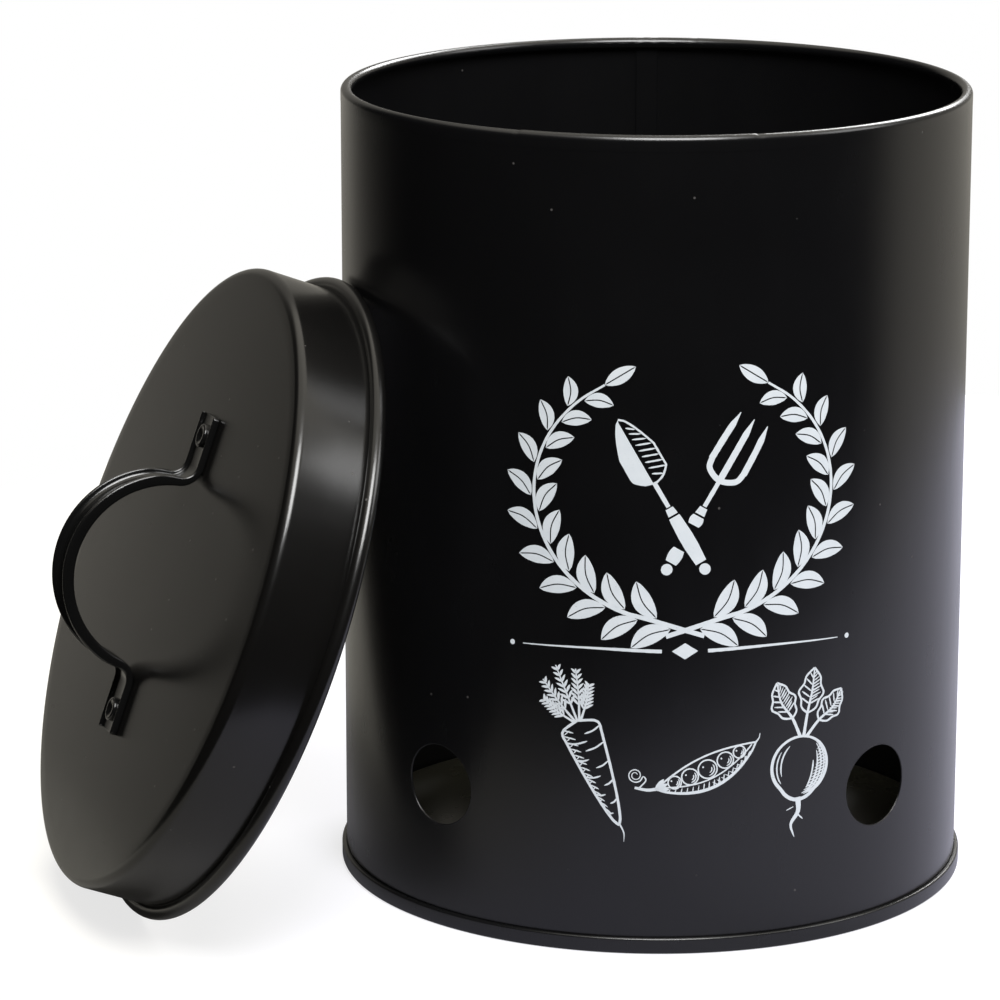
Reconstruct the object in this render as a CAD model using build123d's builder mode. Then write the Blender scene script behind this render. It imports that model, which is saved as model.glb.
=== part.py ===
from build123d import *
import os
from math import acos, atan2, cos, degrees, radians, sin, sqrt

# Onion storage canister of painted sheet steel, in millimetres.
# The origin is the centre of the foot on the surface, +Z is up and the front faces -Y.
# The lid is off: it stands on its beaded edge and leans against the canister's left side.

# Sheet
sheet = 0.5                   # thickness of the steel
flat_turn = 36.0              # a roll or a rounded corner turns about this far at each flat, in degrees

# Canister
canister_diameter = 170.0     # outside of the wall
canister_height = 217.0
mouth_curl = 3.0              # diameter of the edge rolled tight inwards round the mouth
seam_height = 4.3             # folded seam round the foot
seam_depth = 1.3              # how far the seam stands out from the wall
seam_bevel = 0.4              # easing of the seam's edges
floor_rise = 7.0              # top of the base panel above the surface
floor_bevel = 2.0             # where the base panel turns down inside the wall
lap_width = 6.0               # overlap of the rolled sheet, inside the back of the wall
lap_clearance = 0.3           # from the lap's ends to the mouth curl and the base panel

# Vents
vent_diameter = 22.0
vent_height = 39.0            # centre above the surface
vent_bearing = 43.1           # from straight ahead, and from straight back, in degrees

# Lid
lid_clearance = 0.5           # between the canister's wall and the inside of the skirt
lid_height = 23.7
lid_round = 2.5               # outer radius between top and skirt
lid_bead = 4.0                # diameter of the edge rolled tight outwards round the skirt

# Handle: a strap with folded side edges, bent into a loop on two feet
handle_length = 89.0
handle_width = 13.0
strap_sheet = 1.0
rim_height = 3.0              # folded edges, above the underside of the strap
rim_width = 2.0
rim_bevel = 0.6               # easing of the rims' edges
loop_radius = 24.7            # underside of the strap round the loop
loop_rise = 1.0               # centre of the loop above the lid
bend_radius = 6.5             # underside of the strap where the loop turns out into a foot
foot_corner = 0.9

# Rivets
rivet_inset = 5.9             # centre of each rivet from the end of its foot
rivet_shank = 3.2
rivet_head = 6.5
rivet_head_height = 1.2
rivet_edge_bevel = 0.5
rivet_dish = 4.2              # diameter of the hollow in the head
rivet_dish_depth = 0.8
clinch_diameter = 5.2         # closed end, inside the lid
clinch_height = 1.0
rivet_clearance = 0.05

# Lean of the lid
lean_heading = 17.7           # from straight left towards the front, in degrees
lean_tilt = 20.9              # of the lid's face, back from upright, in degrees
lean_gap = 0.3                # between the bead and the wall
handle_turn = 4.2             # turn of the lid about its own axis, in degrees

canister_radius = canister_diameter / 2
wall_inside = canister_radius - sheet
curl_radius = mouth_curl / 2
bead_radius = lid_bead / 2
skirt_inside = canister_radius + lid_clearance
skirt_outside = skirt_inside + sheet

# The bead stands on the surface and touches the wall at its highest point.
tilt = radians(lean_tilt)
bead_circle = skirt_inside + bead_radius
away = Vector(-cos(radians(lean_heading)), -sin(radians(lean_heading)), 0)
uphill = Vector(0, 0, cos(tilt)) - away * sin(tilt)
lid_axis = Vector(0, 0, sin(tilt)) + away * cos(tilt)
stand_off = canister_radius + lean_gap + bead_radius + bead_circle * sin(tilt)
bead_centre = away * stand_off + Vector(0, 0, bead_circle * cos(tilt) + bead_radius)
mouth_centre = bead_centre - lid_axis * bead_radius

# The lid's own planes: its open edge is at z = 0, and the handle runs along x.
handle_way = uphill * cos(radians(handle_turn)) + lid_axis.cross(uphill) * sin(radians(handle_turn))
lid_plane = Plane(origin=mouth_centre, x_dir=handle_way, z_dir=lid_axis)
lid_section = Plane(origin=lid_plane.origin, x_dir=lid_plane.x_dir, z_dir=-lid_plane.y_dir)
lid_top = lid_plane.offset(lid_height)
handle_side = Plane(origin=lid_top.origin, x_dir=lid_top.x_dir, z_dir=-lid_top.y_dir)


def wall_plane(bearing, height):
    """Plane through the canister's axis that faces outwards at a bearing from the front."""
    outwards = Vector(sin(radians(bearing)), -cos(radians(bearing)), 0)
    return Plane(origin=(0, 0, height), x_dir=(-outwards.Y, outwards.X, 0), z_dir=outwards)


def rounded(centre, radius, start, turn):
    """Points round an arc, with flats between them that keep the model light."""
    flat_count = max(1, round(turn / flat_turn))
    bearings = [radians(start + turn * step / flat_count) for step in range(flat_count + 1)]
    return [(centre[0] + radius * cos(bearing), centre[1] + radius * sin(bearing)) for bearing in bearings]


def roll_wrap(radius):
    """How far an edge rolled to this radius goes round before it meets its own sheet, in degrees."""
    return 360 - degrees(acos(1 - sheet / radius))


def save(piece, name):
    """Label a finished piece and write it."""
    piece.part.label = name
    export_step(piece.part, f"parts/{name}.step")
    print(name, len(piece.part.solids()), "solids", round(piece.part.volume, 1), "mm3")


os.makedirs("parts", exist_ok=True)

# Wall: one rolled sheet, with its edge curled inwards round the mouth
curl_centre = (canister_radius - curl_radius, canister_height - curl_radius)
with BuildPart() as canister_wall:
    with BuildSketch(Plane.XZ):
        with BuildLine():
            curl = rounded(curl_centre, curl_radius, 0, roll_wrap(curl_radius))
            Polyline(*curl, (wall_inside, sheet), (canister_radius, sheet), close=True)
        make_face()
    revolve(axis=Axis.Z)
    # The sheet laps over itself inside the back.
    lap_bottom = floor_rise + lap_clearance
    lap_top = canister_height - mouth_curl - lap_clearance
    with BuildSketch(Plane.XY.offset(lap_bottom)):
        with Locations((0, canister_radius)):
            Rectangle(lap_width, canister_radius)
        Circle(wall_inside, mode=Mode.INTERSECT)
        Circle(wall_inside - sheet, mode=Mode.SUBTRACT)
    extrude(amount=lap_top - lap_bottom)
    # Four round vents, two in front and two behind
    vent_bearings = [-vent_bearing, vent_bearing, 180 - vent_bearing, 180 + vent_bearing]
    with BuildSketch(*[wall_plane(bearing, vent_height) for bearing in vent_bearings]):
        Circle(vent_diameter / 2)
    extrude(amount=canister_diameter, mode=Mode.SUBTRACT)
save(canister_wall, "canister_wall")

# Base: a raised panel, whose rim goes down inside the wall and is folded up round its lower edge
seam_outside = canister_radius + seam_depth
panel_edge = wall_inside - floor_bevel
flange_inside = wall_inside - sheet
with BuildPart() as canister_base:
    with BuildSketch(Plane.XZ):
        with BuildLine():
            Polyline((0, floor_rise), (panel_edge, floor_rise), (wall_inside, floor_rise - floor_bevel),
                     (wall_inside, sheet), (canister_radius, sheet), (canister_radius, seam_height),
                     (seam_outside - seam_bevel, seam_height), (seam_outside, seam_height - seam_bevel),
                     (seam_outside, seam_bevel), (seam_outside - seam_bevel, 0), (flange_inside, 0),
                     (flange_inside, floor_rise - floor_bevel), (panel_edge, floor_rise - sheet),
                     (0, floor_rise - sheet), close=True)
        make_face()
    revolve(axis=Axis.Z)
save(canister_base, "canister_base")

# Lid: one pressing, with its edge rolled outwards into a bead
rivet_pitch = handle_length - 2 * rivet_inset
bead_section = (skirt_inside + bead_radius, bead_radius)
corner_section = (skirt_outside - lid_round, lid_height - lid_round)
with BuildPart() as lid_cap:
    with BuildSketch(lid_section):
        with BuildLine():
            bead = rounded(bead_section, bead_radius, 180, roll_wrap(bead_radius))
            corner = rounded(corner_section, lid_round, 0, 90)
            Polyline(*bead, *corner, (0, lid_height), (0, lid_height - sheet),
                     (skirt_outside - lid_round, lid_height - sheet), (skirt_inside, lid_height - lid_round),
                     close=True)
        make_face()
    revolve(axis=Axis(lid_plane.origin, lid_plane.z_dir))
    with BuildSketch(lid_top):
        with GridLocations(rivet_pitch, 0, 2, 1):
            Circle(rivet_shank / 2 + rivet_clearance)
    extrude(amount=-lid_height, mode=Mode.SUBTRACT)
save(lid_cap, "lid_cap")

# Handle: the strap's section swept along one foot, up round the loop and out along the other
bend_reach = sqrt((loop_radius + bend_radius) ** 2 - (bend_radius - loop_rise) ** 2)
join_angle = degrees(atan2(bend_radius - loop_rise, bend_reach))
foot_end = handle_length / 2
foot_point = lid_top.from_local_coords((foot_end, 0, 0))
handle_end = Plane(origin=foot_point, x_dir=-lid_top.y_dir, z_dir=-lid_top.x_dir)
with BuildPart() as lid_handle:
    with BuildLine(handle_side):
        Line((foot_end, 0), (bend_reach, 0))
        CenterArc((bend_reach, bend_radius), bend_radius, 270, join_angle - 90)
        CenterArc((0, loop_rise), loop_radius, join_angle, 180 - 2 * join_angle)
        CenterArc((-bend_reach, bend_radius), bend_radius, -join_angle, join_angle - 90)
        Line((-bend_reach, 0), (-foot_end, 0))
    with BuildSketch(handle_end):
        half_width = handle_width / 2
        rim_edge = half_width - rim_width
        with BuildLine():
            side = Polyline((0, 0), (half_width, 0), (half_width, rim_height - rim_bevel),
                            (half_width - rim_bevel, rim_height), (rim_edge + rim_bevel, rim_height),
                            (rim_edge, rim_height - rim_bevel), (rim_edge, strap_sheet), (0, strap_sheet))
            mirror(side, about=Plane.YZ)
        make_face()
    sweep()
    # The feet have rounded corners.
    upright_edges = lid_handle.edges().filter_by(Axis(lid_top.origin, lid_top.z_dir))
    fillet(upright_edges.group_by(SortBy.LENGTH)[-1], radius=foot_corner)
    with BuildSketch(lid_top):
        with GridLocations(rivet_pitch, 0, 2, 1):
            Circle(rivet_shank / 2 + rivet_clearance)
    extrude(amount=rim_height, mode=Mode.SUBTRACT)
save(lid_handle, "lid_handle")

# Rivets: a dished head on each foot, and a closed end inside the lid
rivet_axis = Axis(lid_top.from_local_coords((rivet_pitch / 2, 0, 0)), lid_top.z_dir)
rivet_section = Plane(origin=rivet_axis.position, x_dir=lid_top.x_dir, z_dir=-lid_top.y_dir)
with BuildPart() as lid_rivets:
    with BuildSketch(rivet_section):
        head_top = strap_sheet + rivet_head_height
        head_edge = rivet_head / 2
        with BuildLine():
            Polyline((0, -sheet - clinch_height), (clinch_diameter / 2, -sheet - clinch_height),
                     (clinch_diameter / 2, -sheet), (rivet_shank / 2, -sheet),
                     (rivet_shank / 2, strap_sheet), (head_edge, strap_sheet),
                     (head_edge, head_top - rivet_edge_bevel), (head_edge - rivet_edge_bevel, head_top),
                     (rivet_dish / 2, head_top), (0, head_top - rivet_dish_depth), close=True)
        make_face()
    revolve(axis=rivet_axis)
    mirror(about=Plane(origin=lid_top.origin, z_dir=lid_top.x_dir))
save(lid_rivets, "lid_rivets")
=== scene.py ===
from math import acos, atan2, ceil, cos, degrees, pi, radians, sin, sqrt

import bpy
from mathutils import Matrix, Vector, noise


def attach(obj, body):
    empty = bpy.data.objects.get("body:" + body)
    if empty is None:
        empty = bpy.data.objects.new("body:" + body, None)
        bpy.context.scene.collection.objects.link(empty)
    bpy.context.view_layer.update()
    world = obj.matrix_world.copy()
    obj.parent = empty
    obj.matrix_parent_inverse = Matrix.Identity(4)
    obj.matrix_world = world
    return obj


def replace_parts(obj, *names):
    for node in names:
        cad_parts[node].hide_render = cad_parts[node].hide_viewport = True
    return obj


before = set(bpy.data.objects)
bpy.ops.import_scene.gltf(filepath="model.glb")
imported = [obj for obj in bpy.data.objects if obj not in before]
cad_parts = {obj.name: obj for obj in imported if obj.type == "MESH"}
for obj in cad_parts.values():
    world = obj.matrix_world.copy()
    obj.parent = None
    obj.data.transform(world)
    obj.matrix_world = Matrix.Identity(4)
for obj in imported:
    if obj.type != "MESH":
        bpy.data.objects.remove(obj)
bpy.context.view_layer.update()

MM = 0.001

# Sizes of the pieces in millimetres, and angles in degrees
sheet = 0.5
canister_radius = 85.0
canister_height = 217.0
curl_radius = 1.5
seam_height = 4.3
seam_outside = 86.3
floor_rise = 7.0
vent_radius = 11.0
vent_height = 39.0
vent_bearing = 43.1
skirt_inside = 85.5
skirt_outside = 86.0
lid_height = 23.7
lid_round = 2.5
bead_radius = 2.0
handle_length = 89.0
half_width = 6.5
strap_sheet = 1.0
foot_rim = 1.9
loop_rim = 3.1
rim_width = 1.3
loop_radius = 24.7
loop_rise = 1.0
bend_radius = 6.5
foot_corner = 0.9
rivet_reach = 38.6
rivet_head = 3.25
rivet_top = 2.2
rivet_shank = 1.6
clinch_radius = 2.6
clinch_height = 1.0
ink_lift = 0.06

# How the lid leans: its heading is from straight left towards the front, and its tilt is back from upright.
lean_heading = 17.7
lean_tilt = 20.9
lean_gap = 0.3
handle_turn = 4.2


def lid_place():
    """The lid's own axes where it leans: X along the handle, Z outwards, and z = 0 on its open edge."""
    tilt = radians(lean_tilt)
    heading = radians(lean_heading)
    turn = radians(handle_turn)
    away = Vector((-cos(heading), -sin(heading), 0))
    uphill = Vector((0, 0, cos(tilt))) - away * sin(tilt)
    outwards = Vector((0, 0, sin(tilt))) + away * cos(tilt)
    bead_circle = skirt_inside + bead_radius
    stand_off = canister_radius + lean_gap + bead_radius + bead_circle * sin(tilt)
    bead_centre = away * stand_off + Vector((0, 0, bead_circle * cos(tilt) + bead_radius))
    mouth = bead_centre - outwards * bead_radius
    along = uphill * cos(turn) + outwards.cross(uphill) * sin(turn)
    across = outwards.cross(along)
    axes = Matrix((along, across, outwards)).transposed().to_4x4()
    return Matrix.Translation(mouth * MM) @ axes


LID_PLACE = lid_place()


class Output:
    """A node's output. Sums on it add Math nodes to the same finish."""

    def __init__(self, finish, socket):
        self.finish = finish
        self.socket = socket

    def maths(self, operation, *values):
        sockets = dict(enumerate([self, *values]))
        return self.finish.node("ShaderNodeMath", {"operation": operation}, sockets)

    def __add__(self, other):
        return self.maths("ADD", other)

    __radd__ = __add__

    def __sub__(self, other):
        return self.maths("SUBTRACT", other)

    def __rsub__(self, other):
        return self * -1 + other

    def __mul__(self, other):
        return self.maths("MULTIPLY", other)

    __rmul__ = __mul__

    def __truediv__(self, other):
        return self.maths("DIVIDE", other)

    def __pow__(self, other):
        return self.maths("POWER", other)

    def ramp(self, low, high, start=0.0, end=1.0):
        """Rises smoothly from start to end while this value goes from low to high."""
        settings = {"interpolation_type": "SMOOTHSTEP"}
        sockets = {0: self, 1: low, 2: high, 3: start, 4: end}
        return self.finish.node("ShaderNodeMapRange", settings, sockets)

    def output(self, name):
        """Another output of the same node."""
        return Output(self.finish, self.socket.node.outputs[name])


class Finish:
    """The nodes of a material or of the world."""

    def __init__(self, holder):
        holder.use_nodes = True
        self.holder = holder
        self.tree = holder.node_tree
        self.tree.nodes.clear()

    def node(self, kind, settings=None, sockets=None, output=0):
        """Adds one node: its settings come first, then the values or links of its sockets."""
        node = self.tree.nodes.new(kind)
        for name, value in (settings or {}).items():
            setattr(node, name, value)
        for name, value in (sockets or {}).items():
            if isinstance(value, Output):
                self.tree.links.new(value.socket, node.inputs[name])
            else:
                node.inputs[name].default_value = value
        return Output(self, node.outputs[output]) if node.outputs else None

    def place(self, own_axes=None):
        """Where a point of the surface is, in metres, along the canister's axes or a piece's own."""
        here = self.node("ShaderNodeTexCoord", output="Object")
        if own_axes is None:
            return here
        start = own_axes.translation
        axes = [column.xyz for column in list(own_axes.col)[:3]]
        parts = {index: self.along(here, axis) - start.dot(axis) for index, axis in enumerate(axes)}
        return self.node("ShaderNodeCombineXYZ", {}, parts)

    def noise(self, place, scale, detail=2.0, stretch=None):
        """Noise from 0 to 1, with scale waves in a metre."""
        if stretch:
            place = self.node("ShaderNodeMapping", {}, {"Vector": place, "Scale": stretch})
        return self.node("ShaderNodeTexNoise", {}, {"Vector": place, "Scale": scale, "Detail": detail})

    def along(self, place, direction):
        """How far a place lies along a direction."""
        settings = {"operation": "DOT_PRODUCT"}
        return self.node("ShaderNodeVectorMath", settings, {0: place, 1: tuple(direction)}, "Value")

    def blend(self, factor, first, second):
        """Goes from the first colour to the second."""
        return self.node("ShaderNodeMix", {"data_type": "RGBA"}, {0: factor, 6: first, 7: second}, 2)

    def bump(self, height, depth, normal):
        """Raises the surface by a height from 0 to 1 times a depth in metres."""
        return self.node("ShaderNodeBump", {}, {"Height": height, "Distance": depth, "Normal": normal})

    def dust(self, place, spacing, share):
        """Small specks, 1 on a speck and 0 beside it.

        A share of the cells of a spacing in metres holds one."""
        settings = {"feature": "F1", "voronoi_dimensions": "3D"}
        specks = self.node("ShaderNodeTexVoronoi", settings, {"Vector": place, "Scale": 1 / spacing})
        chance = self.node("ShaderNodeSeparateColor", {}, {0: specks.output("Color")}, "Red")
        return specks.ramp(0.16, 0.1) * chance.ramp(share, share * 0.9)


def black_coat(name, colour, roughness, own_axes=None, edge=0.25 * MM, streaks=0.0, dust=0.006, crown=0.0,
               inside=None):
    """Satin powder coat: nearly black, with a fine orange peel, a slightly uneven sheen and a little dust.

    Its eased edge and its face's slight crown are in metres, its streaks take the place of a share of the
    peel, and dust is the share of places with a speck. Inside, when given, is a lighter colour for the floor
    inside: painted light that stands in for the light reaching it through the mouth and vents."""
    finish = Finish(bpy.data.materials.new(name))
    place = finish.place(own_axes)
    peel_depth = 5e-6 * (1 + 2 * streaks)
    crown_radius = 83 * MM
    dust_spacing = 2.4 * MM
    dust_colour = (0.2, 0.19, 0.18, 1)
    floor_level = 5 * MM
    peel = finish.noise(place, 900)
    cloud = finish.noise(place, 25, detail=3)
    rub = finish.noise(place, 140, detail=4, stretch=(1, 1, 0.25))
    drawn = finish.noise(place, 1300, detail=3, stretch=(0.06, 1, 1))
    soft_edge = finish.node("ShaderNodeBevel", {"samples": 4}, {"Radius": edge})
    if crown:
        radius = finish.node("ShaderNodeVectorMath", {"operation": "LENGTH"}, {0: place}, "Value")
        soft_edge = finish.bump(1 - (radius / crown_radius) ** 2, crown, soft_edge)
    normal = finish.bump(peel * (1 - streaks) + drawn * streaks, peel_depth, soft_edge)
    speck = finish.dust(place, dust_spacing, dust)
    light = (*[1.25 * part for part in colour], 1)
    dark = (*[0.8 * part for part in colour], 1)
    coat = finish.blend(cloud, dark, light)
    # Painted light: above the seam, the floor inside gets a lighter colour that stands in for the light
    # reaching it through the mouth and vents.
    if inside:
        height = finish.node("ShaderNodeSeparateXYZ", {}, {0: place}, "Z")
        coat = finish.blend(height.ramp(floor_level, floor_level + 0.5 * MM), coat, (*inside, 1))
    sockets = {
        "Base Color": finish.blend(speck * 0.25, coat, dust_colour),
        "Roughness": roughness + (cloud - 0.5) * 0.06 + (rub - 0.5) * 0.05 + speck * 0.3,
        "Normal": normal,
        "IOR": 1.5,
    }
    surface = finish.node("ShaderNodeBsdfPrincipled", {}, sockets)
    finish.node("ShaderNodeOutputMaterial", {}, {"Surface": surface})
    return finish.holder


def print_ink():
    """Bluish white screen-printing ink, very slightly patchy, with pinholes that let the coat through."""
    finish = Finish(bpy.data.materials.new("print_ink"))
    place = finish.place()
    patch = finish.noise(place, 300, detail=3)
    grain = finish.noise(place, 2500)
    pinholes = grain.ramp(0.72, 0.76)
    ink = finish.blend(patch, (0.55, 0.6, 0.64, 1), (0.66, 0.7, 0.73, 1))
    sockets = {
        "Base Color": finish.blend(pinholes * 0.6, ink, (0.05, 0.05, 0.055, 1)),
        "Roughness": 0.5 + (grain - 0.5) * 0.2,
        "Normal": finish.bump(grain, 4e-6, finish.node("ShaderNodeNewGeometry", output="Normal")),
    }
    surface = finish.node("ShaderNodeBsdfPrincipled", {}, sockets)
    finish.node("ShaderNodeOutputMaterial", {}, {"Surface": surface})
    return finish.holder


def dress(node, material):
    """Gives a fixed piece its material."""
    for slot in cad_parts[node].material_slots:
        slot.material = material


def piece(name, corners, faces, material, body, place=None):
    """A finished piece from its corners in millimetres, which rides on a body."""
    mesh = bpy.data.meshes.new(name)
    mesh.from_pydata([Vector(corner) * MM for corner in corners], [], faces)
    if place:
        mesh.transform(place)
    mesh.polygons.foreach_set("use_smooth", [True] * len(mesh.polygons))
    mesh.materials.append(material)
    mesh.update()
    made = bpy.data.objects.new(name, mesh)
    bpy.context.scene.collection.objects.link(made)
    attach(made, body)
    return made


def arc(centre, radius, start, end, steps):
    """Points on an arc, between two bearings in degrees."""
    bearings = [radians(start + (end - start) * step / steps) for step in range(steps + 1)]
    return [(centre[0] + radius * cos(bearing), centre[1] + radius * sin(bearing)) for bearing in bearings]


def turned(profile, around=256, shift=None):
    """Corners and faces of a profile of (radius, height) points turned about the axis.

    The material lies on the left of the profile as its points go by. A shift may move each point."""
    corners = []
    for step in range(around):
        turn = 2 * pi * step / around
        for radius, height in profile:
            if shift:
                radius, height = shift(turn, radius, height)
            corners.append((radius * sin(turn), -radius * cos(turn), height))
    count = len(profile)
    faces = []
    for step in range(around):
        here = step * count
        there = (step + 1) % around * count
        for row in range(count - 1):
            faces.append((here + row, there + row, there + row + 1, here + row + 1))
    return corners, faces


def tube_faces(rings, count, first=0, joined=False):
    """Faces between rings of corners, from the first ring to the last, and on to the first where joined."""
    faces = []
    for ring in range(rings if joined else rings - 1):
        here = first + ring * count
        there = first + (ring + 1) % rings * count
        for row in range(count):
            following = (row + 1) % count
            faces.append((here + row, there + row, there + following, here + following))
    return faces


def crease(made, angle):
    """Keeps the edges that turn by more than an angle sharp."""
    made.data.set_sharp_from_angle(angle=radians(angle))


def roll_end(radius):
    """How far an edge rolled to this radius goes round before it meets its own sheet, in degrees."""
    return 360 - degrees(acos(1 - sheet / radius))


def mouth_curl(material):
    """The rolled edge round the mouth. Between two small steps in front it is a little fuller."""
    skin = 0.02
    fuller = (-26.5, 16.2)
    nicks = (-26.4, 16.3, 170.7)
    dent = 178.6
    centre = (canister_radius - curl_radius, canister_height - curl_radius)
    profile = [(canister_radius + skin, canister_height - 4)]
    profile += arc(centre, curl_radius + skin, 0, 300, 28)

    def shift(turn, radius, height):
        bearing = degrees(turn)
        bearing = bearing - 360 if bearing > 180 else bearing
        after_first = max(0.0, min(1.0, (bearing - fuller[0]) / 0.5))
        before_second = max(0.0, min(1.0, (fuller[1] - bearing) / 0.5))
        nick = sum(max(0.0, 1 - abs(bearing - at) / 0.5) for at in nicks)
        low = max(0.0, 1 - abs(abs(bearing) - dent) / 0.7)
        above = max(0.0, min(1.0, (height - centre[1]) / curl_radius))
        return radius, height + above * (0.12 * after_first * before_second - 0.3 * nick - 0.25 * low)

    corners, faces = turned(profile, around=720, shift=shift)
    return piece("mouth_curl", corners, faces, material, "canister")


def vent_edges(material):
    """The cut edges of the sheet round the four vents, eased and coated."""
    corners = []
    faces = []
    ring = 96
    rounds = 10
    edge_radius = 0.28
    edge_inset = 0.16
    middle = canister_radius - sheet / 2
    for bearing in (-vent_bearing, vent_bearing, 180 - vent_bearing, 180 + vent_bearing):
        out = Vector((sin(radians(bearing)), -cos(radians(bearing)), 0))
        side = Vector((cos(radians(bearing)), sin(radians(bearing)), 0))
        faces += tube_faces(ring, rounds, len(corners), joined=True)
        for step in range(ring):
            turn = 2 * pi * step / ring
            for round_step in range(rounds):
                roll = 2 * pi * round_step / rounds
                reach = vent_radius + edge_inset + edge_radius * cos(roll)
                sideways = reach * cos(turn)
                depth = sqrt(middle ** 2 - sideways ** 2) + edge_radius * sin(roll)
                height = Vector((0, 0, vent_height + reach * sin(turn)))
                corners.append(out * depth + side * sideways + height)
    return piece("vent_edges", corners, faces, material, "canister")


def base(material):
    """The raised base panel, whose rim goes down inside the wall and is folded up round its foot."""
    inside = canister_radius - sheet
    ease = 0.6
    bend = 2.0
    flat = 60
    seam = [(canister_radius, seam_height - 0.25), (canister_radius + 0.1, seam_height)]
    seam += arc((seam_outside - ease, seam_height - ease), ease, 90, 0, 6)
    seam += arc((seam_outside - ease, ease), ease, 0, -90, 6)
    panel = [(0.0, floor_rise - sheet), (flat, floor_rise - sheet)]
    panel += arc((inside - sheet - bend, floor_rise - sheet - bend), bend, 90, 0, 6)
    panel += [(inside - sheet, 0.0)]
    floor = [(inside - bend, floor_rise)] + arc((inside - bend, floor_rise - bend), bend, 90, 0, 6)
    profile = panel + seam[::-1] + [(canister_radius, sheet), (inside, sheet)]
    profile += floor[::-1] + [(flat, floor_rise), (0.0, floor_rise)]
    corners, faces = turned(profile)
    made = piece("base_pan", corners, faces, material, "canister")
    crease(made, 50)
    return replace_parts(made, "canister_base")


def lid(material):
    """The pressed lid: flat face, rounded corner, straight skirt and an edge rolled outwards."""
    wrap = roll_end(bead_radius)
    profile = [(0.0, lid_height), (30, lid_height), (60, lid_height), (80, lid_height)]
    profile += arc((skirt_outside - lid_round, lid_height - lid_round), lid_round, 90, 0, 10)
    profile += [(skirt_outside, 12), (skirt_outside, 5)]
    profile += arc((skirt_inside + bead_radius, bead_radius), bead_radius, 180 + wrap, 180, 36)
    profile += [(skirt_inside, 12), (skirt_inside, lid_height - lid_round)]
    profile += arc((skirt_outside - lid_round, lid_height - lid_round), lid_round - sheet, 0, 90, 10)
    profile += [(60, lid_height - sheet), (30, lid_height - sheet), (0.0, lid_height - sheet)]
    corners, faces = turned(profile[::-1])
    made = piece("lid_pressing", corners, faces, material, "lid", LID_PLACE)
    crease(made, 50)
    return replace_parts(made, "lid_cap")


def handle_route():
    """The underside of the strap: its points, and how it heads at each of them."""
    reach = sqrt((loop_radius + bend_radius) ** 2 - (bend_radius - loop_rise) ** 2)
    join = degrees(atan2(bend_radius - loop_rise, reach))
    foot_end = handle_length / 2
    foot_steps = (0, 0.08, 0.25, 0.45, 0.7, 1.0, 3, 6, 9)
    route = [((foot_end - step, 0.0), (-1.0, 0.0)) for step in foot_steps]
    for x, y in arc((reach, bend_radius), bend_radius, 270, 180 + join, 14):
        route.append(((x, y), ((y - bend_radius) / bend_radius, -(x - reach) / bend_radius)))
    for x, y in arc((0, loop_rise), loop_radius, join, 180 - join, 64)[1:]:
        route.append(((x, y), (-(y - loop_rise) / loop_radius, x / loop_radius)))
    for x, y in arc((-reach, bend_radius), bend_radius, -join, -90, 14)[1:]:
        route.append(((x, y), ((y - bend_radius) / bend_radius, -(x + reach) / bend_radius)))
    route += [((-foot_end + step, 0.0), (-1.0, 0.0)) for step in reversed(foot_steps)]
    return route


def strap_section(half, rise):
    """The strap across: a channel with rounded rims and a coved hollow, which gets deeper as it rises."""
    rim = min(rim_width, max(0.3, half - (half_width - rim_width)))
    crown = rim / 2
    rim_height = foot_rim + (loop_rim - foot_rim) * min(1.0, rise / 10)
    cove = rim_height - strap_sheet - crown
    right = arc((half - 0.5, 0.5), 0.5, -90, 0, 4)
    right += arc((half - crown, rim_height - crown), crown, 0, 180, 10)
    right += arc((half - rim - cove, strap_sheet + cove), cove, 0, -90, 8)[1:]
    return right + [(0.0, strap_sheet)] + [(-x, y) for x, y in reversed(right)] + [(0.0, 0.0)]


def handle(material):
    """The strap handle: two feet on the lid and a round loop between them."""
    corners = []
    route = handle_route()
    foot_end = handle_length / 2
    for (x, y), (ahead, up) in route:
        to_end = foot_end - abs(x) if y == 0 else foot_corner
        short = foot_corner - min(foot_corner, to_end)
        half = half_width - (foot_corner - sqrt(foot_corner ** 2 - short ** 2))
        # The strap's outer side is on the right of its way along the route.
        section = strap_section(half, y)
        for across, outwards in section:
            corners.append((x + up * outwards, across, lid_height + y - ahead * outwards))
    count = len(section)
    faces = tube_faces(len(route), count)
    faces.append(tuple(range(count)))
    faces.append(tuple(reversed(range(len(corners) - count, len(corners)))))
    made = piece("strap_handle", corners, faces, material, "lid", LID_PLACE)
    crease(made, 45)
    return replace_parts(made, "lid_handle")


def rivets(material):
    """Two rivets: dished heads outside, closed ends inside the lid."""
    clinch_ease = 0.4
    head_ease = 0.5
    clinch_centre = (clinch_radius - clinch_ease, -sheet - clinch_height + clinch_ease)
    profile = [(0.0, -sheet - clinch_height)] + arc(clinch_centre, clinch_ease, -90, 0, 4)
    profile += [(clinch_radius, -sheet), (rivet_shank, -sheet)]
    profile += [(rivet_shank, strap_sheet), (rivet_head, strap_sheet)]
    profile += arc((rivet_head - head_ease, rivet_top - head_ease), head_ease, 0, 90, 5)
    dish = ((2.3, 0.0), (2.1, 0.06), (1.7, 0.36), (1.0, 0.66), (0.0, 0.8))
    profile += [(radius, rivet_top - depth) for radius, depth in dish]
    profile = [(radius, lid_height + height) for radius, height in profile]
    corners = []
    faces = []
    for reach in (rivet_reach, -rivet_reach):
        rivet_corners, rivet_faces = turned(profile, around=48)
        faces += [[corner + len(corners) for corner in face] for face in rivet_faces]
        corners += [(x + reach, y, z) for x, y, z in rivet_corners]
    made = piece("rivets", corners, faces, material, "lid", LID_PLACE)
    crease(made, 50)
    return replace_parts(made, "lid_rivets")


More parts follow.
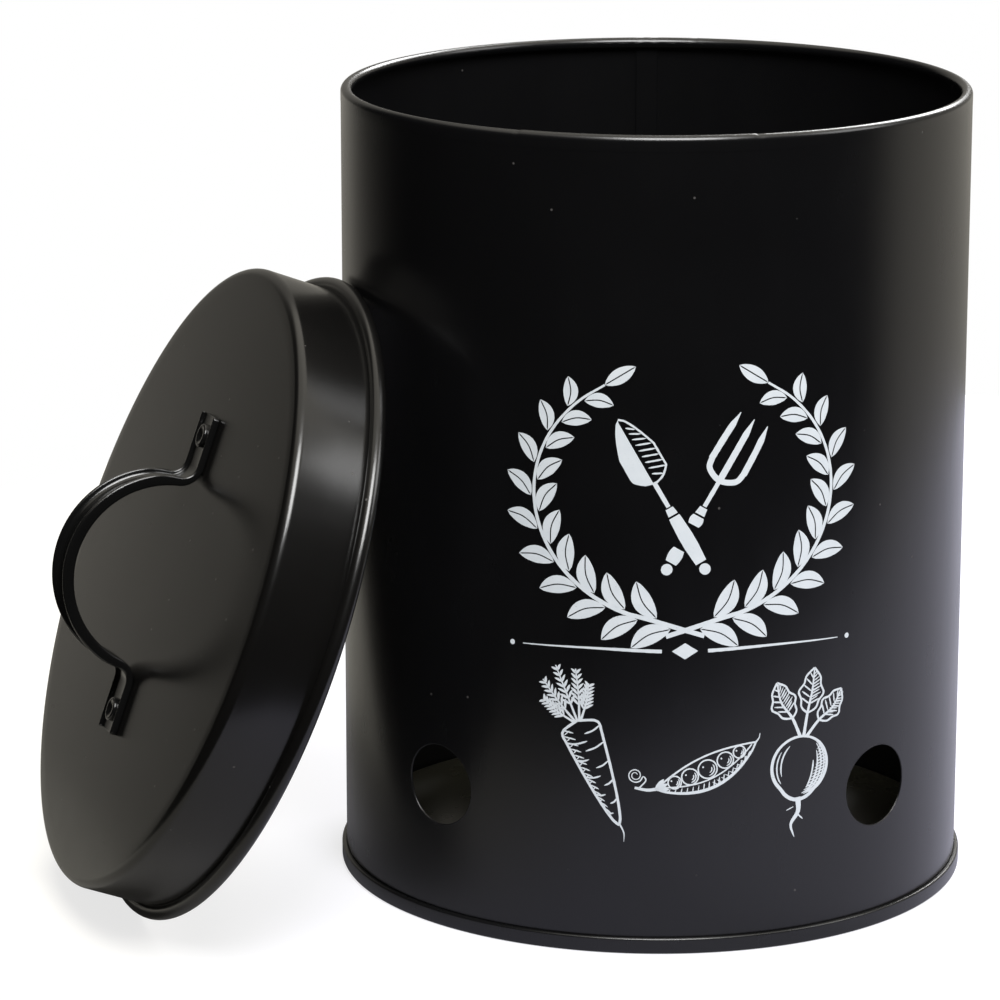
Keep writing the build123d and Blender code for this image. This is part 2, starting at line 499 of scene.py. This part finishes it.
def smooth_path(points, step=1.2):
    """Points along a smooth curve through the given ones, about a step apart."""
    points = [Vector(point) for point in points]
    if len(points) == 2:
        points.insert(1, (points[0] + points[1]) / 2)
    before = points[0] * 2 - points[1]
    after = points[-1] * 2 - points[-2]
    padded = [before, *points, after]
    path = []
    for a, b, c, d in zip(padded, padded[1:], padded[2:], padded[3:]):
        steps = max(1, ceil((c - b).length / step))
        for i in range(steps):
            t = i / steps
            path.append((2 * b + (c - a) * t + (2 * a - 5 * b + 4 * c - d) * t ** 2
                         + (3 * b - a - 3 * c + d) * t ** 3) / 2)
    return path + [points[-1]]


def even(t):
    """A line's thickness along it: the same all along."""
    return 1.0


def inked(t):
    """A line's thickness along it: thin ends and a full middle."""
    return min(1.0, 0.35 + 4 * t, 0.35 + 4 * (1 - t))


def lens(t):
    """A pointed oval's half width along it."""
    return sin(pi * t) ** 0.75


def round_end(t):
    """A disc's half width along it."""
    return sqrt(max(0.0, 1 - (2 * t - 1) ** 2))


class Print:
    """A print on the canister's wall, drawn in millimetres round from the front and up from the foot."""

    def __init__(self):
        self.corners = []
        self.faces = []
        self.home = (0.0, 0.0)
        self.turn = 0.0
        self.size = 1.0
        self.flip = 1

    def at(self, home, turn=0.0, size=1.0, flip=1):
        """Draws the next motif round a point, turned by degrees anticlockwise."""
        self.home = home
        self.turn = radians(turn)
        self.size = size
        self.flip = flip

    def corner(self, x, y):
        x = x * self.size * self.flip
        y = y * self.size
        u = self.home[0] + x * cos(self.turn) - y * sin(self.turn)
        v = self.home[1] + x * sin(self.turn) + y * cos(self.turn)
        radius = canister_radius + ink_lift
        bearing = u / canister_radius
        self.corners.append((radius * sin(bearing), -radius * cos(bearing), v))

    def band(self, points, left, right, step=1.2):
        """Ink between two offsets to the left and right of a curve, given as widths along it.

        It has a column of faces for each 3 mm of its width, so that it lies on the round wall."""
        path = smooth_path(points, step)
        widest = max(left(i / 20) + right(i / 20) for i in range(21))
        columns = max(1, ceil(widest * self.size / 3))
        first = len(self.corners)
        for index, point in enumerate(path):
            ahead = path[min(index + 1, len(path) - 1)] - path[max(index - 1, 0)]
            side = Vector((-ahead.y, ahead.x)).normalized()
            t = index / (len(path) - 1)
            wobble = 0.05 * noise.noise(Vector((point.x * 0.9, point.y * 0.9, self.home[0])))
            outer = max(0.0, left(t) + wobble) if left(t) > 0 else left(t)
            inner = max(0.0, right(t) + wobble) if right(t) > 0 else right(t)
            for column in range(columns + 1):
                share = column / columns
                place = point + side * (outer * (1 - share) - inner * share)
                self.corner(place.x, place.y)
        for index in range(len(path) - 1):
            for column in range(columns):
                a = first + index * (columns + 1) + column
                b = a + columns + 1
                quad = (a, a + 1, b + 1, b)
                self.faces.append(quad if self.flip > 0 else quad[::-1])

    def line(self, points, width=0.6, shape=inked, step=1.2):
        """A pen line of a width."""
        self.band(points, lambda t: shape(t) * width / 2, lambda t: shape(t) * width / 2, step)

    def oval(self, centre, radii, start=0, end=360, width=0.5, count=16):
        """A line round part of an oval."""
        angles = [radians(start + (end - start) * i / count) for i in range(count + 1)]
        points = [(centre[0] + radii[0] * cos(angle), centre[1] + radii[1] * sin(angle)) for angle in angles]
        self.line(points, width, even if end - start == 360 else inked)

    def dot(self, centre, radius):
        """A filled disc."""
        x, y = centre
        self.line([(x - radius, y), (x, y), (x + radius, y)], 2 * radius, round_end, step=radius / 5)

    def leaf(self, base_point, tip, width, bow=0.12):
        """A leaf of two halves: one filled, the other hatched, with a vein left bare between them."""
        base_point = Vector(base_point)
        tip = Vector(tip)
        along = tip - base_point
        side = Vector((-along.y, along.x))
        middle = base_point + along * 0.5 + side * bow
        vein = 0.16 / self.size
        spine = [base_point, middle, tip]
        self.band(spine, lambda t: lens(t) * width / 2, lambda t: -min(vein, lens(t) * width / 2), step=0.9)
        self.band(spine, lambda t: -min(vein, lens(t) * width / 2), lambda t: lens(t) * width / 2, step=0.9)

    def sprig(self, points, leaves, length, width, stem=0.9):
        """A stem with leaves on both sides, which get smaller towards its tip."""
        path = smooth_path(points, 0.5)
        self.line(points, stem, lambda t: 1 - 0.55 * t)
        for index in range(leaves):
            share = 0.08 + 0.9 * index / leaves
            at = int(share * (len(path) - 2))
            ahead = (path[at + 1] - path[at]).normalized()
            side = Vector((-ahead.y, ahead.x)) * (1 if index % 2 else -1)
            long = length * (1 - 0.35 * share)
            heading = ahead * 0.72 + side * 0.7
            foot = path[at] + side * 0.3
            bow = -0.1 if index % 2 else 0.1
            self.leaf(foot + heading * 0.8, foot + heading * long, width * (1 - 0.3 * share), bow)
        ahead = (path[-1] - path[-4]).normalized()
        self.leaf(path[-1], path[-1] + ahead * length * 0.75, width * 0.75, 0.0)


def tool_grip(pen, neck_top, gap=None):
    """A garden tool's knob, grip, ferrule and neck. The grip has a gap where another tool crosses it."""
    low_end = -23.2
    high_end = -7.5
    pen.dot((0, -25.5), 1.7)
    for low, high in [(low_end, gap[0]), (gap[1], high_end)] if gap else [(low_end, high_end)]:
        pen.line([(0, low), (0, (low + high) / 2), (0, high)], 4.2, lambda t: 0.8 + 0.2 * sin(pi * t), 0.8)
    pen.line([(0, -6.9), (0, -4.6)], 3.0, lambda t: 1 - 0.2 * t)
    pen.line([(0, -4.2), (0, neck_top)], 1.3, even)


def trowel(pen):
    """A hand trowel with a pointed blade, one half of it filled and the other hatched."""
    foot = 3.6
    length = 21.4

    def blade(t):
        return 5.6 * min(1.0, (t / 0.16) ** 0.5) * min(1.0, ((1 - t) / 0.5)) ** 0.62

    tool_grip(pen, 4.2)
    spine = [(0, foot), (0, 14), (0, foot + length)]
    pen.band(spine, blade, lambda t: -0.3 * min(1, blade(t)), 0.8)
    edge = [(blade(i / 24), foot + length * i / 24) for i in range(25)]
    pen.line(edge, 0.6, even, 0.8)
    for row in range(9):
        low = 5.5 + row * 1.9
        half = blade((low - foot) / length)
        pen.line([(0.7, low + 1.2), (half - 0.3, low - 0.4)], 0.5)


def fork(pen):
    """A hand fork with a bowed yoke and three tines, which passes under another tool."""
    def tine(t):
        return min(1.0, 3.2 * (1 - t) + 0.12)

    tool_grip(pen, 4.6, gap=(-18.6, -10.4))
    pen.line([(-5.4, 9.6), (-4.4, 6.2), (0, 4.4), (4.4, 6.2), (5.4, 9.6)], 1.7, even, 0.6)
    for x, low in ((-5.4, 9.0), (0, 5.0), (5.4, 9.0)):
        pen.line([(x, low), (x * 0.96, 17), (x * 0.86, 24.5)], 1.9, tine, 0.8)


def carrot(pen):
    """A carrot with feathery leaves, its crown at the origin and its root along X."""
    length = 32

    def half(t):
        return 6.0 * min(1.0, (t / 0.07) ** 0.5) * (1 - t) ** 0.62

    for side in (1, -1):
        edge = [(length * i / 22, side * half(i / 22)) for i in range(23)]
        pen.line(edge, 0.75, even, 1.0)
    # Short rings from one side and the other: where they are, and how far they reach across.
    rings = ((0.1, 0.9), (0.17, 1.1), (0.25, 1.2), (0.33, 0.8), (0.42, 1.0),
             (0.5, 1.1), (0.59, 0.9), (0.67, 0.9), (0.76, 1.0), (0.85, 0.9))
    for index, (t, share) in enumerate(rings):
        x = length * t
        wide = half(t) * (-1 if index % 2 else 1)
        pen.line([(x, wide), (x + 0.9, wide * (1 - 0.5 * share)), (x + 1.0, wide * (1 - share))], 0.5)
    for row in range(14):
        t = 0.06 + 0.06 * row
        x = length * t
        wide = half(t)
        pen.line([(x - 0.6, -wide + 0.2), (x + 1.2, -wide * 0.45)], 0.42)
        pen.line([(x + 1.0, -wide + 0.2), (x + 0.2, -wide * 0.62)], 0.34)
    pen.line([(31.6, 0.2), (34.5, 0.4), (37, -0.6)], 0.6, lambda t: 1 - 0.8 * t)
    for turn, reach in ((-38, 11), (-20, 15), (0, 17), (20, 15), (38, 11)):
        heading = Vector((-cos(radians(turn)), sin(radians(turn))))
        side = Vector((-heading.y, heading.x))
        foot = Vector((0.3, 1.6 * sin(radians(turn))))
        bend = side * (0.08 * turn / 38 * reach)
        tip = foot + heading * reach + bend
        pen.line([foot, foot + heading * reach * 0.5, tip], 0.7, lambda t: 1 - 0.5 * t)
        for index in range(7):
            share = 0.3 + 0.1 * index
            root = foot + heading * reach * share + bend * share ** 2
            for way in (1, -1):
                end = root + (heading * 0.8 + side * way * 0.75) * (2.9 - 1.6 * (share - 0.3))
                pen.line([root, (root + end) / 2 + heading * 0.2, end], 0.75, lens, 0.6)


def pea_pod(pen):
    """An open pea pod with five peas, a cap and a tendril, lying along X."""
    reach = 19
    steps = [i / 20 for i in range(21)]

    def low(t):
        return -7.8 * sin(pi * t) ** 0.8

    def lip(t):
        return -4.6 * sin(pi * t) ** 0.9

    def hatch(t, start, end, share, width):
        """A line up from the pod's lower edge, through a share of the way to its lip."""
        x = -reach + 2 * reach * t
        pen.line([(x + start[0], low(t) + start[1]), (x + end, low(t) + (lip(t) - low(t)) * share)], width)

    outline = [(-reach + 2 * reach * t, low(t)) for t in steps]
    pen.line(outline, 0.85, lambda t: 0.8 + 0.5 * sin(pi * t), 1.0)
    pen.line([(-reach + 2 * reach * t, 3.8 * sin(pi * t) ** 0.9) for t in steps], 0.65, even, 1.0)
    pen.line([(-17.4 + 34.8 * t, lip(t)) for t in steps], 0.5, even, 1.0)
    for x, radius in ((-12.2, 2.3), (-6.6, 2.9), (0, 3.3), (6.8, 2.9), (12.4, 2.2)):
        lift = 0.3 - 1.2 * (1 - (x / reach) ** 2)
        pen.oval((x, lift), (radius, radius), width=0.5)
        pen.oval((x, lift), (radius * 0.72, radius * 0.72), -100, 20, 0.45, 8)
        pen.oval((x, lift), (radius * 0.45, radius * 0.45), -85, 5, 0.4, 6)
        pen.dot((x - radius * 0.35, lift + radius * 0.4), 0.32)
    for row in range(17):
        hatch(0.1 + 0.05 * row, (-0.5, 0.2), 0.7, 0.75, 0.42)
    for row in range(9):
        hatch(0.5 + 0.045 * row, (1.0, 0.3), -0.4, 0.6, 0.36)
    for turn in (150, 178, 205):
        end = Vector((-reach, 0)) + Vector((-cos(radians(turn)), sin(radians(turn)))) * 4.6
        pen.line([(-19.4, 0), end], 1.5, lens, 0.5)
    pen.line([(-19, 0), (-22, 1.0), (-25.5, 3.4)], 1.1, lambda t: 1.1 - 0.3 * t, 0.8)
    pen.line([(19, 0), (20.6, 0.8), (21.6, 2.2)], 0.7, lambda t: 1 - 0.7 * t, 0.6)
    tendril = []
    for i in range(17):
        radius = 0.8 + 0.12 * i
        tendril.append((-23.5 + radius * cos(0.75 * i), 7.4 + radius * sin(0.75 * i)))
    pen.line([(-24.4, 2.6), (-21.0, 4.2), *reversed(tendril)], 0.5, lambda t: 1 - 0.4 * t, 0.7)


def radish(pen):
    """A round radish with its tail and three broad leaves, its middle at the origin."""
    radii = (8.2, 8.0)
    body = []
    for i in range(29):
        angle = radians(90 - 360 * i / 28)
        point = 1.3 * abs(sin(angle)) ** 6 if sin(angle) < -0.8 else 0
        body.append((radii[0] * cos(angle), radii[1] * sin(angle) - point))
    pen.line(body, 0.8, lambda t: 0.75 + 0.5 * sin(pi * t), 1.0)
    tail = [(0.4, -8.6), (0.9, -12.5), (-0.8, -16), (0.6, -19.5)]
    pen.line(tail, 1.5, lambda t: (1 - t) ** 0.7 + 0.08, 0.8)
    pen.line([(0.3, -12.8), (2.6, -14.6)], 0.4)
    pen.line([(-0.6, -11.2), (-2.6, -12.2)], 0.4)
    for reach, start, end in ((0.9, -75, 62), (0.78, -68, 48), (0.64, -60, 30), (0.48, -50, 10)):
        pen.oval((0, 0), (radii[0] * reach, radii[1]), start, end, 0.48, 12)
    for row in range(15):
        height = -6.8 + row * 0.85
        outer = radii[0] * sqrt(max(0, 1 - (height / radii[1]) ** 2))
        inner = outer * (0.32 + 0.03 * row)
        pen.line([(inner, height - 0.8), (outer - 0.2, height + 0.7)], 0.38)
    pen.oval((0, 0), (5.6, 7.0), 130, 205, 0.45, 8)
    pen.oval((0, 0), (6.8, 7.4), 150, 222, 0.4, 8)
    leaves = (((-9.5, 22.5), 6.6, 0.16), ((1.2, 26.5), 6.8, -0.05), ((10.5, 20.5), 6.2, -0.18))
    for tip, width, bow in leaves:
        radish_leaf(pen, Vector(tip), width, bow)


def radish_leaf(pen, tip, width, bow):
    """A stalked leaf with a frilled edge, veins on both sides and shading on one."""
    foot = Vector((tip.x * 0.1, 8.0))
    along = tip - foot
    ahead = along.normalized()
    side = Vector((-along.y, along.x)).normalized()
    root = foot + along * 0.34
    middle = (root + tip) / 2 + side * bow * along.length * 0.4

    def spine(t):
        return root * (1 - t) ** 2 + middle * 2 * t * (1 - t) + tip * t ** 2

    pen.line([foot, root, middle, tip], 0.95, lambda t: 1 - 0.6 * t, 0.8)
    for way in (1, -1):
        edge = []
        for i in range(15):
            t = i / 14
            frill = 1 + 0.13 * sin(t * 17)
            edge.append(spine(t) + side * way * (width / 2) * sin(pi * t ** 0.85) ** 0.8 * frill)
        pen.line(edge, 0.55, even, 0.8)
        for index in range(5):
            t = 0.2 + 0.14 * index
            start = spine(t)
            out = side * way * (width / 2) * sin(pi * (t + 0.12) ** 0.85) ** 0.8 * 0.86
            pen.line([start, start + out + ahead * 1.6], 0.42)
            if way < 0:
                shade = start + along * 0.05
                pen.line([shade, shade + out * 0.8 + ahead * 1.4], 0.36)


def garden_print(material):
    """A white print on the front: a leafy wreath round two tools, a divider, and three vegetables below."""
    pen = Print()
    centre = 6.0
    middle = 124.0
    divider = 82.5
    for flip in (1, -1):
        pen.at((centre, middle), flip=flip)
        branch = [(x * 40, y * 34) for x, y in arc((0, 0), 1, -78, 58, 12)]
        pen.sprig([(-5, -37.5), *branch], 20, 12.5, 5.4, 1.3)
    # The tools cross at the middle of their grips, the trowel on top.
    lean = 30
    tool_size = 0.9
    down = 14.5 * tool_size
    rise = middle - 11 + down * cos(radians(lean))
    pen.at((centre - down * sin(radians(lean)), rise), turn=lean, size=tool_size)
    trowel(pen)
    pen.at((centre + down * sin(radians(lean)), rise), turn=-lean, size=tool_size)
    fork(pen)
    pen.at((centre, divider))
    for side in (1, -1):
        pen.line([(side * 6, 0), (side * 24, 0.4), (side * 43, 0)], 1.0, lambda t: 1 - 0.75 * t)
        pen.dot((side * 46, 0), 0.7)
    pen.line([(-3.4, 0), (0, 0), (3.4, 0)], 4.4, lambda t: 1 - abs(2 * t - 1), 0.4)
    pen.at((-22, 63), turn=-68, size=0.94)
    carrot(pen)
    pen.at((12, 51), turn=24, size=0.76)
    pea_pod(pen)
    pen.at((38, 49), turn=-6)
    radish(pen)
    return piece("garden_print", pen.corners, pen.faces, material, "canister")


wall_coat = black_coat("wall_coat", (0.003, 0.003, 0.0033), 0.26)
# The base pan's floor inside is painted lighter, as painted light.
base_coat = black_coat("base_coat", (0.004, 0.004, 0.0042), 0.28, inside=(0.02, 0.019, 0.013))
lid_coat = black_coat("lid_coat", (0.004, 0.0038, 0.0036), 0.22, LID_PLACE,
                      streaks=0.6, dust=0.03, crown=0.7 * MM)
handle_coat = black_coat("handle_coat", (0.004, 0.004, 0.004), 0.17, LID_PLACE)
rivet_coat = black_coat("rivet_coat", (0.004, 0.004, 0.004), 0.2, LID_PLACE, edge=0.1 * MM)
dress("canister_wall", wall_coat)
mouth_curl(wall_coat)
vent_edges(wall_coat)
base(base_coat)
lid(lid_coat)
handle(handle_coat)
rivets(rivet_coat)
garden_print(print_ink())


def studio_room():
    """A white room to the camera. What the coat mirrors is a backdrop behind that fades towards the camera.

    The turn is the heading from +Y towards +X, and the climb is the height from -1 to 1."""
    room = Finish(bpy.data.worlds.new("studio_room"))
    bpy.context.scene.world = room.holder
    direction = room.node("ShaderNodeTexCoord", output="Generated")
    east = room.node("ShaderNodeSeparateXYZ", {}, {0: direction}, "X")
    turn = east.maths("ARCTAN2", east.output("Y"))
    climb = east.output("Z")
    upper = turn.ramp(radians(-48), radians(-25), 0, 0.62) + turn.ramp(radians(-20), radians(20), 0, 0.12)
    lower = turn.ramp(radians(-74), radians(-28), 0, 0.39) + turn.ramp(radians(20), radians(60), 0, 0.14)
    right_end = turn.ramp(radians(78), radians(102), 1, 0)
    raised = climb.ramp(-0.22, -0.1)
    fading = climb.ramp(-0.13, 0.04, 1, 0.5)
    overhead = climb.ramp(0.62, 0.85, 0, 1.1)
    seen = room.node("ShaderNodeLightPath", output="Is Camera Ray")
    mirrored = seen.output("Is Glossy Ray") + seen.output("Is Transmission Ray")
    backdrop = (upper * raised + lower * (1 - raised)) * right_end * fading + overhead
    strength = seen + mirrored * backdrop + seen.output("Is Diffuse Ray") * 0.3
    tint = room.blend(seen, (1, 0.95, 0.84, 1), (1, 1, 1, 1))
    surface = room.node("ShaderNodeBackground", {}, {"Color": tint, "Strength": strength})
    room.node("ShaderNodeOutputWorld", {}, {"Surface": surface})


def table():
    """The white table top that the canister stands on, a round plate just under the foot."""
    corner_count = 96
    radius = 0.42
    bearings = [2 * pi * i / corner_count for i in range(corner_count)]
    corners = [(radius * cos(bearing), radius * sin(bearing), -0.0002) for bearing in bearings]
    mesh = bpy.data.meshes.new("table_top")
    mesh.from_pydata(corners, [], [range(corner_count)])
    top = bpy.data.objects.new("table_top", mesh)
    bpy.context.scene.collection.objects.link(top)
    top.location = (0.1, 0.15, 0)
    finish = Finish(bpy.data.materials.new("table_white"))
    seen = finish.node("ShaderNodeLightPath", output="Is Camera Ray")
    mirrored = seen.output("Is Glossy Ray") + seen.output("Is Transmission Ray")
    east = finish.node("ShaderNodeSeparateXYZ", {}, {0: finish.place()}, "X")
    # Painted reflection: a glow that only mirror rays see, rising towards the right, stands in for a pool of
    # light on the table.
    painted_mirror_glow = mirrored * east.ramp(-0.25, 0.1, 0.02, 0.15)
    # The paper is painted darker and warmer on the left and bluish on the right, so that the lid's face and
    # the wall's lower part mirror painted reflections of it.
    white = finish.blend(east.ramp(-0.28, -0.12), (0.27, 0.26, 0.23, 1), (0.33, 0.33, 0.41, 1))
    paper = finish.node("ShaderNodeBsdfDiffuse", {}, {"Color": white})
    glow = finish.node("ShaderNodeEmission", {}, {"Color": (1, 1, 1, 1), "Strength": seen * 0.75 + painted_mirror_glow})
    both = finish.node("ShaderNodeAddShader", {}, {0: paper, 1: glow})
    finish.node("ShaderNodeOutputMaterial", {}, {"Surface": both})
    top.data.materials.append(finish.holder)


def soft_light(name, place, size, power, aim=(0, 0, 0.1)):
    """A square soft box that faces a point."""
    light = bpy.data.lights.new(name, "AREA")
    light.size = size
    light.energy = power
    box = bpy.data.objects.new(name, light)
    box.location = place
    box.rotation_euler = (Vector(aim) - Vector(place)).to_track_quat("-Z", "Y").to_euler()
    box.visible_camera = False
    bpy.context.scene.collection.objects.link(box)


def camera():
    """The photograph's view."""
    view = bpy.data.cameras.new("photo_camera")
    view.lens = 162.38
    view.sensor_width = 36
    eye = bpy.data.objects.new("photo_camera", view)
    eye.location = (-0.0391, -1.2050, 0.4091)
    eye.rotation_euler = (radians(75.665), 0, radians(0.14))
    bpy.context.scene.collection.objects.link(eye)
    bpy.context.scene.camera = eye


camera()
studio_room()
table()
soft_light("light_front", (0.1, -1.05, 1.55), 0.9, 47)
soft_light("light_right", (1.25, -0.25, 1.05), 0.7, 7.5)
soft_light("light_behind", (0.5, 1.0, 0.9), 0.6, 17, aim=(0.2, 0.45, 0))

bpy.context.scene.view_settings.view_transform = "Standard"
